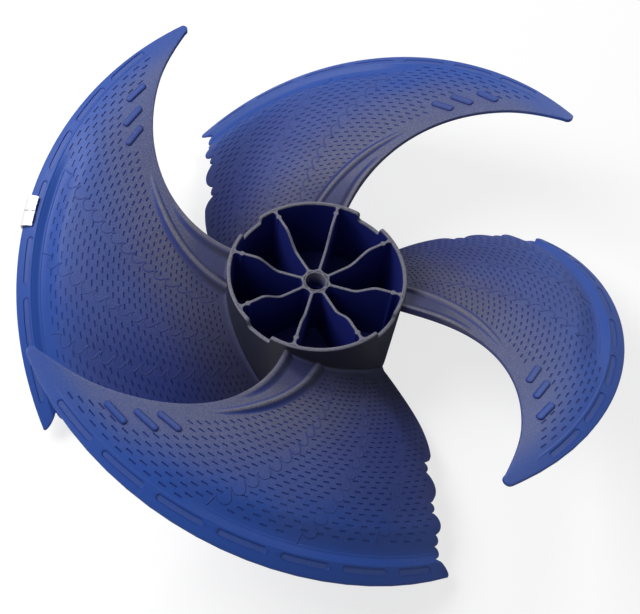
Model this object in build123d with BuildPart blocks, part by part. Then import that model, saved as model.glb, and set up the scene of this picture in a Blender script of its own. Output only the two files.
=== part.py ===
"""Axial fan impeller: a moulded hub with four forward-swept blades, and two
push-on balance clips on the rim of one blade.

Frame: the origin is on the bore axis at the end face of the hub's boss, where the
shaft's shoulder seats. +Z runs along the axis to the hub's open, ribbed mouth.
Angles are in degrees about +Z from +X. A blade's leading edge is at the smaller
angle and high up, its trailing edge at the larger angle and low down.
"""

import os
from math import cos, degrees, radians, sin, tan

from build123d import *

# ---------------------------------------------------------------- dimensions, mm
fan_diameter = 550.0        # over the blades' rims
blade_count = 4

# hub shell
hub_diameter = 164.0        # at the open mouth
hub_height = 112.0
hub_wall = 3.6
hub_draft = 1.2             # degrees, narrower towards the closed end
core_draft = 1.0            # of the pockets between the webs
floor_sink = 76.0           # depth of the floor's upper face below the mouth
floor_thickness = 4.0
mouth_edge_round = 1.2

# boss, shaft bore and nut recess
boss_diameter = 24.5
boss_sink = 14.0            # depth of the boss's upper end below the mouth
bore_diameter = 12.0
nut_recess_diameter = 18.6
nut_recess_depth = 20.0

# webs from the boss to the shell
web_count = 8
web_angle = 29.0            # angle of the first web
web_thickness = 2.7
web_corner = 3.0            # rounding between webs, shell and boss, seen from above
web_ramp_start = 34.0       # radius where a web's top edge leaves the boss's level
web_ramp_inset = 24.0       # distance in from the hub's rim where it reaches the mouth's level
pin_pad_diameter = 4.8      # round pads in the webs for the mould's ejector pins
pin_pad_inset = 11.0

# four lowered stretches of the mouth
notch_count = 4
notch_angle = 49.5
notch_depth = 9.0
notch_width = 26.0
notch_corner = 3.0

# blade sheet; a share is 0 at the hub's wall and 1 at the rim
blade_thickness = 3.6       # upright thickness at the leading edge
trailing_thickness = 2.4
root_extra = 1.6            # added thickness at the hub
lead_angle = 159.0          # leading edge's angle at the hub
lead_sweep = 45.0           # its forward sweep from the hub to the rim
lead_power = 1.8
lead_root_sink = 11.1       # depth of the leading edge below the mouth, at the hub
lead_rise = (15.8, 165.7, -90.5)        # its climb, by share, share squared and cubed
trail_angle = 240.8         # trailing edge's angle at the hub
trail_sweep = (-63.2, 26.6)             # its sweep, by share and share squared
trail_root_height = 6.6     # height of the trailing edge above the base, at the hub
trail_rise = (12.2, 121.0, -123.6)      # its climb, as the leading edge's
chord_fall = (0.5, 0.2, 0.3)            # fall along the chord, by chord share and its powers

# leading tip of a blade
tip_lead = 0.9              # degrees by which it runs on past the leading edge's curve
tip_inner_inset = 16.2      # distances in from the rim
tip_outer_inset = 6.6
tip_nose = 1.05             # degrees that the rounded nose stands out

# gutter between the sheet and the rim flange
gutter_inset = 23.5         # distance in from the rim
gutter_inner_width = 20.0
gutter_outer_width = 11.0
gutter_depth = 6.0
gutter_lag = 28.3           # degrees behind the tip where it begins
gutter_run = 20.0           # degrees in which it sinks to its depth

# long recesses in the rim flange
pocket_count = 7
pocket_inset = 9.8          # distance in from the rim
pocket_lag = 10.0           # degrees behind the tip where the first one begins
pocket_pitch = 10.85
pocket_sweep = 7.4
pocket_width = 5.4
pocket_depth = 0.8

# raised bars near the tip: distance in from the rim, degrees behind the leading edge
bars_at = ((64.4, 4.8), (51.8, 5.45), (38.2, 5.6))
bar_length = 17.7           # between the middles of its round ends
bar_width = 6.2
bar_height = 1.6

# strengthening ribs at the leading edge's root, which run out along the blade
rib_height = 3.0
rib_narrowing = 0.5         # share of its width that a rib loses before its point
lead_rib_width = 7.0
lead_rib_lag = 4.6          # distance behind the leading edge
lead_rib_end = 0.43         # span share where it has run out
inner_rib_width = 8.5
inner_rib_lag = 30.0        # distance behind the leading edge at the hub
inner_rib_power = 1.25      # how its distance behind the edge shrinks outwards
inner_rib_end = 0.57

# trailing edge: teeth, each as its start, crest, corner and bend (span share, angle)
teeth = (
    ((0.495, 213.3), (0.521, 213.9), (0.536, 213.4), (0.543, 212.8)),
    ((0.544, 212.0), (0.603, 212.6), (0.668, 209.9), (0.679, 208.8)),
    ((0.681, 207.8), (0.702, 208.6), (0.716, 208.3), (0.724, 207.6)),
    ((0.725, 206.9), (0.769, 208.3), (0.804, 207.2), (0.811, 206.3)),
    ((0.811, 205.4), (0.830, 206.1), (0.847, 205.7), (0.853, 205.0)),
    ((0.854, 204.3), (0.877, 205.2), (0.895, 204.8), (0.903, 204.1)),
    ((0.904, 203.4), (0.943, 205.0), (0.972, 205.3), (0.983, 205.1)),
)
root_lobe = ((0.060, 235.7), (0.228, 228.2), (0.370, 222.9), (0.448, 219.9), (0.481, 218.0))
root_lobe_bend = (0.498, 216.2)
rim_end = (0.986, 204.5)
rim_mid_angle = 165.0

# balance clips
clip_count = 2
clip_angle = 166.7          # middle of the first clip
clip_pitch = 2.85
clip_sweep = 2.7
clip_reach = 9.5            # how far a clip reaches in from the rim
clip_sheet = 1.3
clip_play = 0.2             # gap between a clip and the blade

hub_radius = hub_diameter / 2
rim_radius = fan_diameter / 2
boss_radius = boss_diameter / 2
boss_top = hub_height - boss_sink
floor_top = hub_height - floor_sink
floor_bottom = floor_top - floor_thickness
base_radius = hub_radius - hub_height * tan(radians(hub_draft))
root_radius = (hub_radius - hub_wall + base_radius) / 2   # blades start inside the shell's wall
recess_radius = hub_radius - hub_wall - floor_sink * tan(radians(hub_draft))
tip_inner_radius = rim_radius - tip_inner_inset
tip_outer_radius = rim_radius - tip_outer_inset
gutter_radius = rim_radius - gutter_inset


# ---------------------------------------------------------------- blade formulas
def polar(radius, angle):
    """Plan point at a radius and an angle."""
    return (radius * cos(radians(angle)), radius * sin(radians(angle)))


def span_share(radius):
    """0 at the hub's wall, 1 at the rim."""
    return (radius - hub_radius) / (rim_radius - hub_radius)


def span_point(share, angle):
    """Plan point at a span share and an angle."""
    return polar(hub_radius + share * (rim_radius - hub_radius), angle)


def powers(value, factors):
    """A curve from 0: the value, its square and so on, each times its factor."""
    return sum(factor * value ** (i + 1) for i, factor in enumerate(factors))


def lead_edge_angle(radius):
    return lead_angle - lead_sweep * max(span_share(radius), 0) ** lead_power


def trail_edge_angle(radius):
    return trail_angle + powers(span_share(radius), trail_sweep)


def lead_edge_height(radius):
    return hub_height - lead_root_sink + powers(span_share(radius), lead_rise)


def trail_edge_height(radius):
    return trail_root_height + powers(span_share(radius), trail_rise)


def chord_share(radius, angle):
    """0 at the leading edge, 1 at the trailing edge."""
    lead = lead_edge_angle(radius)
    return (angle - lead) / (trail_edge_angle(radius) - lead)


def smooth_step(value):
    t = min(max(value, 0.0), 1.0)
    return t * t * (3 - 2 * t)


tip_angle = lead_edge_angle(tip_inner_radius) - tip_lead
gutter_start = tip_angle + gutter_lag


def gutter_drop(radius, angle):
    """How far the gutter lies below the plain sheet."""
    width = gutter_inner_width if radius < gutter_radius else gutter_outer_width
    across = smooth_step(1 - abs(radius - gutter_radius) / width)
    along = smooth_step((angle - gutter_start) / gutter_run)
    return gutter_depth * across * along


def top_height(radius, angle):
    """Upper face of a blade, which falls ever faster towards its trailing edge."""
    fall = powers(chord_share(radius, angle), chord_fall)
    high = lead_edge_height(radius)
    return high + (trail_edge_height(radius) - high) * fall - gutter_drop(radius, angle)


def sheet_thickness(radius, angle):
    u = min(max(chord_share(radius, angle), 0.0), 1.0)
    root = root_extra * max(1 - span_share(radius), 0.0) ** 2
    return blade_thickness + (trailing_thickness - blade_thickness) * u + root


# ---------------------------------------------------------------- blade layers
first_radius = hub_radius - 2 * hub_wall
sheet_end = gutter_radius - gutter_inner_width
inner_radii = [first_radius + (sheet_end - first_radius) * i / 5 for i in range(5)]
half_in, half_out = gutter_inner_width / 2, gutter_outer_width / 2
gutter_radii = [gutter_radius + step for step in (-half_in, 0, half_out, 2 * half_out)]
section_radii = inner_radii + [sheet_end] + gutter_radii + [rim_radius + 3 * blade_thickness]
first_angle = tip_angle - 5 * tip_nose
last_angle = trail_angle + 3
section_angles = [first_angle + (last_angle - first_angle) * i / 13 for i in range(14)]


def radial_plane(angle):
    """Upright plane through the axis: its X is the radius and its Y is the height."""
    across = (sin(radians(angle)), -cos(radians(angle)), 0)
    return Plane(origin=(0, 0, 0), x_dir=(*polar(1, angle), 0), z_dir=across)


def mouth_plane(angle):
    """Upright plane across the shell's mouth: its Y is up and its origin on the mouth's edge."""
    out = (*polar(1, angle), 0)
    return Plane(origin=(*polar(hub_radius, angle), hub_height), x_dir=(-out[1], out[0], 0), z_dir=out)


def blade_layer(lower, upper):
    """Solid between two offsets from the blade's upper face, lofted over radial sections."""
    with BuildPart() as layer:
        for angle in section_angles:
            above = [(r, top_height(r, angle) + upper(r, angle)) for r in section_radii]
            below = [(r, top_height(r, angle) + lower(r, angle)) for r in section_radii]
            with BuildSketch(radial_plane(angle)):
                with BuildLine():
                    # all sections share their knots, which keeps the strips between them light
                    add(Edge.make_spline(above, parameters=section_radii))
                    add(Edge.make_spline(below, parameters=section_radii))
                    Line(above[-1], below[-1])
                    Line(below[0], above[0])
                make_face()
        loft(ruled=True)
    return layer.part


def even(offset):
    """An offset that is the same everywhere."""
    return lambda radius, angle: offset


def under_face(gap):
    """An offset that lies below the blade's under face by a gap."""
    return lambda radius, angle: -sheet_thickness(radius, angle) - gap


# ---------------------------------------------------------------- one blade
plan_low = Plane.XY.offset(-hub_height)
plan_depth = 4 * hub_height

with BuildPart() as outline:
    with BuildSketch(plan_low):
        with BuildLine():
            lead_radii = [hub_radius + (tip_inner_radius - hub_radius) * i / 7 for i in range(7)]
            lead_points = [polar(r, lead_edge_angle(r)) for r in lead_radii]
            tip_inner = polar(tip_inner_radius, tip_angle)
            tip_outer = polar(tip_outer_radius, tip_angle)
            nose = polar((tip_inner_radius + tip_outer_radius) / 2, tip_angle - tip_nose)
            Spline([polar(root_radius, lead_angle), *lead_points, tip_inner])
            ThreePointArc(tip_inner, nose, tip_outer)
            ThreePointArc(tip_outer, polar(rim_radius, rim_mid_angle), span_point(*rim_end))
            ends = [tooth[0] for tooth in teeth[1:]] + [rim_end]
            for (start, crest, corner, bend), end in zip(teeth, ends):
                ThreePointArc(span_point(*start), span_point(*crest), span_point(*corner))
                ThreePointArc(span_point(*corner), span_point(*bend), span_point(*end))
            root = [polar(root_radius, trail_angle + 2), polar(hub_radius, trail_angle)]
            Spline(root + [span_point(*point) for point in root_lobe])
            lobe_end, first_tooth = span_point(*root_lobe[-1]), span_point(*teeth[0][0])
            ThreePointArc(lobe_end, span_point(*root_lobe_bend), first_tooth)
            mid = (lead_angle + trail_angle) / 2
            ThreePointArc(polar(root_radius, lead_angle), polar(root_radius, mid), root[0])
        make_face()
    extrude(amount=plan_depth)

with BuildPart() as pockets:
    with BuildSketch(plan_low):
        for i in range(pocket_count):
            begin = tip_angle + pocket_lag + i * pocket_pitch
            radius = rim_radius - pocket_inset
            path = CenterArc((0, 0), radius, begin, pocket_sweep, mode=Mode.PRIVATE)
            SlotArc(path, pocket_width)
    extrude(amount=plan_depth)
    add(blade_layer(even(-pocket_depth), even(pocket_width)), mode=Mode.INTERSECT)

with BuildPart() as bars:
    with BuildSketch(plan_low):
        for inset, lag in bars_at:
            radius = rim_radius - inset
            begin = lead_edge_angle(radius) + lag
            path = CenterArc((0, 0), radius, begin, degrees(bar_length / radius), mode=Mode.PRIVATE)
            SlotArc(path, bar_width)
    extrude(amount=plan_depth)
    add(blade_layer(even(-blade_thickness / 2), even(bar_height)), mode=Mode.INTERSECT)


def lead_rib_line(radius):
    """Angle of the rib that runs along the leading edge."""
    return lead_edge_angle(radius) + degrees(lead_rib_lag / radius)


def inner_rib_line(radius):
    """Angle of the rib that leaves the leading edge towards the hub."""
    share = span_share(radius) / inner_rib_end
    lag = inner_rib_lag * max(1 - share, 0) ** inner_rib_power + inner_rib_width
    return lead_edge_angle(radius) + degrees(lag / radius)


with BuildPart() as ribs:
    with BuildSketch(plan_low):
        for line, end_share, width in (
            (lead_rib_line, lead_rib_end, lead_rib_width),
            (inner_rib_line, inner_rib_end, inner_rib_width),
        ):
            end_radius = hub_radius + end_share * (rim_radius - hub_radius)
            shares = [i / 6 for i in range(6)]
            radii = [root_radius + (end_radius - root_radius) * share for share in shares]
            halves = [width / 2 * (1 - rib_narrowing * share) for share in shares]
            near = [polar(r, line(r) - degrees(half / r)) for r, half in zip(radii, halves)]
            far = [polar(r, line(r) + degrees(half / r)) for r, half in zip(radii, halves)]
            point = polar(end_radius, line(end_radius))
            with BuildLine():
                Spline(near + [point])
                Spline(far + [point])
                Line(far[0], near[0])
            make_face()
    extrude(amount=plan_depth)
    add(blade_layer(even(-blade_thickness / 2), even(rib_height)), mode=Mode.INTERSECT)

with BuildPart() as blade:
    add(outline)
    add(blade_layer(under_face(0), even(0)), mode=Mode.INTERSECT)
    add(pockets, mode=Mode.SUBTRACT)
    add(bars)
    add(ribs)


# ---------------------------------------------------------------- impeller
with BuildPart() as impeller:
    # hub blank, drafted from the mouth down, with its mouth edge rounded
    with BuildSketch(Plane.XZ):
        corners = [(0, 0), (base_radius, 0), (hub_radius, hub_height), (0, hub_height)]
        Polygon(*corners, align=None)
    revolve(axis=Axis.Z)
    fillet(impeller.edges().group_by(Axis.Z)[-1], mouth_edge_round)

    # drafted pockets leave the shell, the webs and the boss
    left_middle = (Align.MIN, Align.CENTER)
    with BuildSketch(Plane.XY.offset(hub_height)) as cores:
        Circle(hub_radius - hub_wall)
        Circle(boss_radius, mode=Mode.SUBTRACT)
        with PolarLocations(0, web_count, start_angle=web_angle):
            Rectangle(hub_radius, web_thickness, align=left_middle, mode=Mode.SUBTRACT)
        fillet(cores.vertices(), web_corner)
    extrude(amount=floor_top - hub_height, taper=core_draft, mode=Mode.SUBTRACT)

    # pads for the ejector pins, as high as the webs
    with BuildSketch(Plane.XY.offset(floor_bottom)):
        with PolarLocations(hub_radius - pin_pad_inset, web_count, start_angle=web_angle):
            Circle(pin_pad_diameter / 2)
    extrude(amount=hub_height - floor_bottom)

    # the webs' top edges sink in an S towards the boss
    with BuildSketch(Plane.XZ):
        with BuildLine():
            low = (web_ramp_start, boss_top)
            high = (hub_radius - web_ramp_inset, hub_height)
            Polyline((0, hub_height), (0, boss_top), low)
            Spline(low, high, tangents=((1, 0), (1, 0)))
            Line(high, (0, hub_height))
        make_face()
    revolve(axis=Axis.Z, mode=Mode.SUBTRACT)

    # recess below the floor, round the boss
    with BuildSketch(Plane.XY):
        Circle(recess_radius)
        Circle(boss_radius + hub_wall / 2, mode=Mode.SUBTRACT)
    extrude(amount=floor_bottom, mode=Mode.SUBTRACT)

    # shaft bore, with the nut's recess above it
    with Locations((0, 0, boss_top)):
        Hole(bore_diameter / 2)
        Hole(nut_recess_diameter / 2, depth=nut_recess_depth)

    # lowered stretches of the mouth, with rounded ends
    for i in range(notch_count):
        with BuildSketch(mouth_plane(notch_angle + i * 360 / notch_count)):
            with BuildLine() as half:
                turn = notch_corner * sin(radians(45))
                outer, inner = notch_width / 2 + notch_corner, notch_width / 2 - notch_corner
                Polyline((0, notch_corner), (outer, notch_corner), (outer, 0))
                knee = (outer - turn, -notch_corner + turn)
                ThreePointArc((outer, 0), knee, (notch_width / 2, -notch_corner))
                Line((notch_width / 2, -notch_corner), (notch_width / 2, notch_corner - notch_depth))
                knee = (inner + turn, notch_corner - notch_depth - turn)
                ThreePointArc((notch_width / 2, notch_corner - notch_depth), knee, (inner, -notch_depth))
                Line((inner, -notch_depth), (0, -notch_depth))
                mirror(about=Plane.YZ)
            make_face()
        extrude(amount=3 * hub_wall, both=True, mode=Mode.SUBTRACT)

    with PolarLocations(0, blade_count):
        add(blade.part)


# ---------------------------------------------------------------- balance clips
clips = []
for i in range(clip_count):
    middle = clip_angle + i * clip_pitch
    turn = clip_sweep / 2
    edge = rim_radius + clip_play
    with BuildPart() as clip:
        # the folded strip, as deep over the blade as under it
        with BuildSketch(plan_low):
            inner, outer = rim_radius - clip_reach, edge + clip_sheet
            with BuildLine():
                CenterArc((0, 0), outer, middle - turn, clip_sweep)
                CenterArc((0, 0), inner, middle - turn, clip_sweep)
                Line(polar(inner, middle - turn), polar(outer, middle - turn))
                Line(polar(inner, middle + turn), polar(outer, middle + turn))
            make_face()
        extrude(amount=plan_depth)
        strip = blade_layer(under_face(clip_play + clip_sheet), even(clip_play + clip_sheet))
        add(strip, mode=Mode.INTERSECT)
    with BuildPart() as slot:
        with BuildSketch(plan_low):
            Circle(edge)
        extrude(amount=plan_depth)
        add(blade_layer(under_face(clip_play), even(clip_play)), mode=Mode.INTERSECT)
    with BuildPart() as balance_clip:
        add(clip)
        add(slot, mode=Mode.SUBTRACT)
    balance_clip.part.label = f"balance_clip_{i + 1}"
    clips.append(balance_clip.part)

# ---------------------------------------------------------------- output
impeller.part.label = "impeller"

os.makedirs("parts", exist_ok=True)
export_step(impeller.part, "parts/impeller.step")
for number, part in enumerate(clips, start=1):
    export_step(part, f"parts/balance_clip_{number}.step")
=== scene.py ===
"""Axial fan impeller: a moulded hub with four swept blades and two balance clips.

The pieces follow one another as the fan is made: the hub with its webs, the blades, then the
clips. Sizes are in millimetres and angles in degrees, and meshes are written in metres.
"""

import bpy
import numpy as np
from mathutils import Matrix


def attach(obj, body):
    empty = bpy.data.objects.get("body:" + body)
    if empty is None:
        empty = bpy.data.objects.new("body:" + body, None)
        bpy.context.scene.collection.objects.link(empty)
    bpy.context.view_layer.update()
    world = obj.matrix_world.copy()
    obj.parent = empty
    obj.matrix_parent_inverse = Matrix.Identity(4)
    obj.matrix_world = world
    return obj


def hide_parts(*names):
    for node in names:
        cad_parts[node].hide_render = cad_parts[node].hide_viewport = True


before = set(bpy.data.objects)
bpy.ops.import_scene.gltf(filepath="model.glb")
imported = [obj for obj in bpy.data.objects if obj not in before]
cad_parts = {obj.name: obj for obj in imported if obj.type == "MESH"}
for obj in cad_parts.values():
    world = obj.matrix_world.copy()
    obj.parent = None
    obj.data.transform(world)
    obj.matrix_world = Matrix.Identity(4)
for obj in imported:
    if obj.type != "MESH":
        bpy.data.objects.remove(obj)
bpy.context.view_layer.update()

# ---------------------------------------------------------------- hub
# The hub is one injection moulding with the blades: a drafted cup open at the top, with a
# floor, a boss for the motor shaft, and eight webs. Its plastic is dark where dust has settled;
# its outer wall is near black, dark dirt and painted shade in one.
HUB_RADIUS, HUB_HEIGHT, HUB_WALL = 82.0, 112.0, 3.6
OUTER_DRAFT, INNER_DRAFT = np.tan(np.radians(1.2)), np.tan(np.radians(1.0))
BASE_RADIUS = HUB_RADIUS - HUB_HEIGHT * OUTER_DRAFT
FLOOR_TOP, FLOOR_BOTTOM = 36.0, 32.0
CREASE = 32.0  # sharper edges aren't smoothed, in degrees
DUSTY_HIGHLIGHT = -1.0  # the mark of an upper edge: dust and a painted highlight


class Skin:
    """Points and triangles gathered from several surfaces and put into one object."""

    def __init__(self):
        self.points, self.faces, self.marks, self.count = [], [], [], 0

    def add(self, points, faces, mark=None):
        """Adds a surface: points (n, 3) in mm, triangles (m, 3), and a mark for each point,
        from -1 for dust, with a painted highlight on upper edges, to 1 for painted shade."""
        self.points.append(points)
        self.faces.append(faces + self.count)
        self.marks.append(np.zeros(len(points)) if mark is None else mark)
        self.count += len(points)

    def grid(self, points, closed_u=False, closed_v=False, flip=False, mark=None):
        """Adds points (nu, nv, 3) as a grid of squares cut in two, closed round where asked."""
        nu, nv = points.shape[:2]
        index = np.arange(nu * nv).reshape(nu, nv)
        if closed_u:
            index = np.vstack([index, index[:1]])
        if closed_v:
            index = np.hstack([index, index[:, :1]])
        a, b, c, d = index[:-1, :-1], index[1:, :-1], index[1:, 1:], index[:-1, 1:]
        faces = np.concatenate([np.stack([a, b, c], -1), np.stack([a, c, d], -1)]).reshape(-1, 3)
        faces = faces[:, ::-1] if flip else faces
        flat = None if mark is None else mark.reshape(-1)
        self.add(points.reshape(-1, 3), faces, flat)

    def tube(self, points, mark, flip=False):
        """Adds rings of points (rings, around, 3) as a closed skin, with both ends filled."""
        self.grid(points, closed_v=True, flip=flip, mark=mark)
        ring = np.arange(points.shape[1])
        fan = np.stack([np.zeros(len(ring) - 2, int), ring[1:-1], ring[2:]], -1)
        first, last = (fan[:, ::-1], fan) if flip else (fan, fan[:, ::-1])
        self.add(points[0], first, mark[0])
        self.add(points[-1], last, mark[-1])

    def object(self, name, material):
        """Makes the object, in metres, smooth but for edges sharper than the crease angle."""
        points = np.concatenate(self.points) / 1000
        faces = np.concatenate(self.faces)
        mesh = bpy.data.meshes.new(name)
        mesh.vertices.add(len(points))
        mesh.vertices.foreach_set("co", points.ravel())
        mesh.loops.add(faces.size)
        mesh.loops.foreach_set("vertex_index", faces.ravel())
        mesh.polygons.add(len(faces))
        mesh.polygons.foreach_set("loop_start", np.arange(0, faces.size, 3))
        mesh.update(calc_edges=True)
        # the mark: below 0 dust, with a painted highlight on upper edges; above 0 painted shade
        mark = mesh.attributes.new("grime", "FLOAT", "POINT")
        mark.data.foreach_set("value", np.concatenate(self.marks))
        mesh.shade_smooth()
        mesh.set_sharp_from_angle(angle=np.radians(CREASE))
        mesh.materials.append(material)
        made = bpy.data.objects.new(name, mesh)
        bpy.context.scene.collection.objects.link(made)
        return made


def turned(radius, angle, height):
    """Points in space from a radius, an angle and a height."""
    turn = np.radians(angle)
    radius, turn, height = np.broadcast_arrays(radius, turn, height)
    return np.stack([radius * np.cos(turn), radius * np.sin(turn), height], -1)


def quarter(start, stop, count=5):
    """Unit circle points between two angles, both ends included."""
    turn = np.radians(np.linspace(start, stop, count))
    return np.cos(turn), np.sin(turn)


class Socket:
    """A number in a material. Python's operators on it add the Math nodes of the sum."""

    def __init__(self, tree, link):
        self.tree, self.link = tree, link

    def _math(self, operation, *values):
        node = self.tree.nodes.new("ShaderNodeMath")
        node.operation = operation
        for place, value in zip(node.inputs, values):
            if isinstance(value, Socket):
                self.tree.links.new(value.link, place)
            else:
                place.default_value = value
        return Socket(self.tree, node.outputs[0])

    def __add__(self, other):
        return self._math("ADD", self, other)

    def __radd__(self, other):
        return self._math("ADD", other, self)

    def __sub__(self, other):
        return self._math("SUBTRACT", self, other)

    def __rsub__(self, other):
        return self._math("SUBTRACT", other, self)

    def __mul__(self, other):
        return self._math("MULTIPLY", self, other)

    def __rmul__(self, other):
        return self._math("MULTIPLY", other, self)

    def __truediv__(self, other):
        return self._math("DIVIDE", self, other)

    def __pow__(self, other):
        return self._math("POWER", self, other)

    def clamp(self):
        """Held between 0 and 1."""
        return self._math("MINIMUM", self._math("MAXIMUM", self, 0.0), 1.0)

    def step(self, low, high):
        """0 below low, 1 above high, and a smooth S between them. high may be the smaller."""
        t = ((self - low) / (high - low)).clamp()
        return t * t * (3.0 - 2.0 * t)


class Graph:
    """The nodes that feed one shader. Each node comes from node(), each number is a Socket."""

    def __init__(self, tree, shader):
        self.tree, self.shader = tree, tree.nodes[shader]

    def node(self, kind, settings=None, out=0, **values):
        """Adds a node: its settings first, then its sockets' values or links. i0, i1 and so on
        stand for the sockets by number."""
        made = self.tree.nodes.new(kind)
        for key, value in (settings or {}).items():
            setattr(made, key, value)
        for key, value in values.items():
            numbered = key[0] == "i" and key[1:].isdigit()
            place = made.inputs[int(key[1:]) if numbered else key]
            if isinstance(value, Socket):
                self.tree.links.new(value.link, place)
            else:
                place.default_value = value
        return Socket(self.tree, made.outputs[out])

    def mix(self, share, low, high):
        """Colour between two, by a share from 0 to 1."""
        settings = {"data_type": "RGBA"}
        return self.node("ShaderNodeMix", settings, out=2, i0=share, i6=low, i7=high)

    def ray(self, kind):
        """1 for rays of one kind, such as Camera, and 0 for the others."""
        return self.node("ShaderNodeLightPath", out=f"Is {kind} Ray")

    def feed(self, name, value):
        """Links a value to one of the shader's inputs."""
        self.tree.links.new(value.link, self.shader.inputs[name])


class Finish(Graph):
    """A material under construction. Its constants are set on the shader's own sockets."""

    def __init__(self, name, **constants):
        self.material = bpy.data.materials.new(name)
        self.material.use_nodes = True
        super().__init__(self.material.node_tree, "Principled BSDF")
        for socket, value in constants.items():
            self.shader.inputs[socket.replace("_", " ")].default_value = value
        self.place = self.node("ShaderNodeTexCoord", out="Object")

    def axis(self, name):
        """One of the object coordinates X, Y and Z, in metres."""
        return self.node("ShaderNodeSeparateXYZ", out=name, i0=self.place)

    def noise(self, scale, detail, rough=0.6):
        """Cloudy pattern from 0 to 1 over the object; scale is in clouds a metre."""
        sizes = {"Scale": scale, "Detail": detail, "Roughness": rough}
        return self.node("ShaderNodeTexNoise", Vector=self.place, **sizes)

    def attribute(self, name):
        """A number stored at the mesh's points."""
        return self.node("ShaderNodeAttribute", {"attribute_name": name}, out="Fac")

    def bump(self, height, strength, distance):
        """Feeds the shader's normal from a height."""
        normal = self.node("ShaderNodeBump", Height=height, Strength=strength, Distance=distance)
        self.feed("Normal", normal)


def moulded_plastic():
    """Blue moulded plastic. Grey dust lies thin over the blades, thicker near the hub and on
    upper edges, which also carry a painted highlight (mark below 0); painted shade darkens
    recesses, flanks and the trailing parts (mark above 0), and the hub's outer wall is near black
    from dirt and painted shade."""
    look = Finish("moulded_plastic", IOR=1.5, Specular_IOR_Level=0.3)
    x, y, z = (look.axis(name) for name in "XYZ")
    radius = (x * x + y * y) ** 0.5
    cloud = look.noise(11.0, 4.0)
    speck = look.noise(1100.0, 2.0, 0.7)
    reach = radius + (cloud - 0.5) * 0.11
    # the mark's share above 0 is painted shade
    mark = look.attribute("grime")
    shaded = mark.clamp()

    # bare blue, deeper towards the hub, with a film of specks of dust over it
    deep_blue, clear_blue = (0.009, 0.021, 0.170, 1), (0.013, 0.066, 0.340, 1)
    blue = look.mix(reach.step(0.10, 0.25), deep_blue, clear_blue)
    dull_dust, pale_dust = (0.058, 0.062, 0.135, 1), (0.190, 0.185, 0.255, 1)
    dust = look.mix(speck.step(0.38, 0.66), dull_dust, pale_dust)
    film = (0.34 - 0.34 * reach.step(0.205, 0.255)) * (0.3 + 1.1 * cloud) + 0.04
    face = look.mix(film.clamp(), blue, dust)

    # soot round the hub, kept off where the marks' painted shade lies
    dark_soot, grey_soot = (0.020, 0.021, 0.046, 1), (0.054, 0.054, 0.094, 1)
    soot = reach.step(0.195, 0.085) * 0.70 * (1.0 - shaded * 1.3).clamp()
    base = look.mix(soot, face, look.mix(speck, dark_soot, grey_soot))

    # the cup inside is deep blue and its outer wall near black, dark dirt and painted shade in
    # one; both follow the wall's draft
    cup_blue, wall_dirt_and_shade = (0.008, 0.013, 0.135, 1), (0.011, 0.012, 0.026, 1)
    wall_slope = 0.021
    mouth_radius = radius + (HUB_HEIGHT / 1000 - z) * wall_slope
    cup = look.mix(mouth_radius.step(0.0806, 0.0800), base, cup_blue)
    wall = mouth_radius.step(0.0832, 0.0826) * mouth_radius.step(0.0800, 0.0806)
    hub_side = look.mix(wall, cup, wall_dirt_and_shade)

    # painted shade in the recesses, on flanks and towards the trailing edge; dust with a painted
    # highlight on upper edges
    blade_grime, hub_grime = (0.009, 0.024, 0.170, 1), (0.010, 0.011, 0.030, 1)
    grime = look.mix(radius.step(0.150, 0.095), blade_grime, hub_grime)
    with_shade = look.mix(shaded * 0.92, hub_side, grime)
    dull_edge, pale_edge = (0.085, 0.088, 0.130, 1), (0.205, 0.202, 0.245, 1)
    edge = look.mix(speck.step(0.36, 0.66), dull_edge, pale_edge)
    look.feed("Base Color", look.mix((0.0 - mark).clamp(), with_shade, edge))
    look.feed("Roughness", 0.40 + film * 0.3 + speck * 0.10)
    look.bump(speck, 0.3, 0.0004)
    return look.material


plastic = moulded_plastic()

# shell: a closed profile carried round the axis, its top lowered along four stretches
NOTCH_COUNT, NOTCH_ANGLE, NOTCH_DEPTH, NOTCH_HALF, NOTCH_ROUND = 4, 49.5, 9.0, 13.0, 3.0
NOTCH_GAP = 0.02
MOUTH_ROUND, BASE_CHAMFER, POCKET_FOOT = 1.3, 0.6, FLOOR_TOP - 1


def mouth_drop(angle):
    """How far the mouth's edge lies below the hub's height: a trough with round corners."""
    pitch = 360 / NOTCH_COUNT
    turn = (angle - NOTCH_ANGLE + pitch / 2) % pitch - pitch / 2
    along = np.abs(np.radians(turn)) * HUB_RADIUS
    low = np.clip(along - (NOTCH_HALF - NOTCH_ROUND), 0, NOTCH_ROUND)
    high = np.clip(NOTCH_HALF + NOTCH_ROUND - along, 0, NOTCH_ROUND)
    inner = NOTCH_DEPTH - NOTCH_ROUND + np.sqrt(NOTCH_ROUND**2 - low**2)
    outer = NOTCH_ROUND - np.sqrt(NOTCH_ROUND**2 - high**2)
    return np.where(along < NOTCH_HALF, inner, outer)


def shell_angles():
    """Angles round the shell, closer together at the ends of the lowered stretches."""
    swing = NOTCH_ROUND * np.sin(np.radians(np.linspace(0, 90, 9)))
    low, high = NOTCH_HALF - NOTCH_ROUND + swing, NOTCH_HALF + NOTCH_ROUND - swing
    low[-1] -= NOTCH_GAP
    high[-1] += NOTCH_GAP
    ends = np.degrees(np.concatenate([low, high, -low, -high]) / HUB_RADIUS)
    one = np.concatenate([ends, np.arange(-45, 45, 1.25)])
    starts = NOTCH_ANGLE + np.arange(NOTCH_COUNT) * 360 / NOTCH_COUNT
    return np.sort((starts[:, None] + one).ravel())


hub = Skin()
angles = shell_angles()[:, None]
top = HUB_HEIGHT - mouth_drop(angles)
out_cos, out_sin = quarter(0, 90)
in_cos, in_sin = quarter(90, 180)


def outer_radius(height):
    """The shell's outer wall, wider towards the mouth."""
    return BASE_RADIUS + height * OUTER_DRAFT


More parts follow.
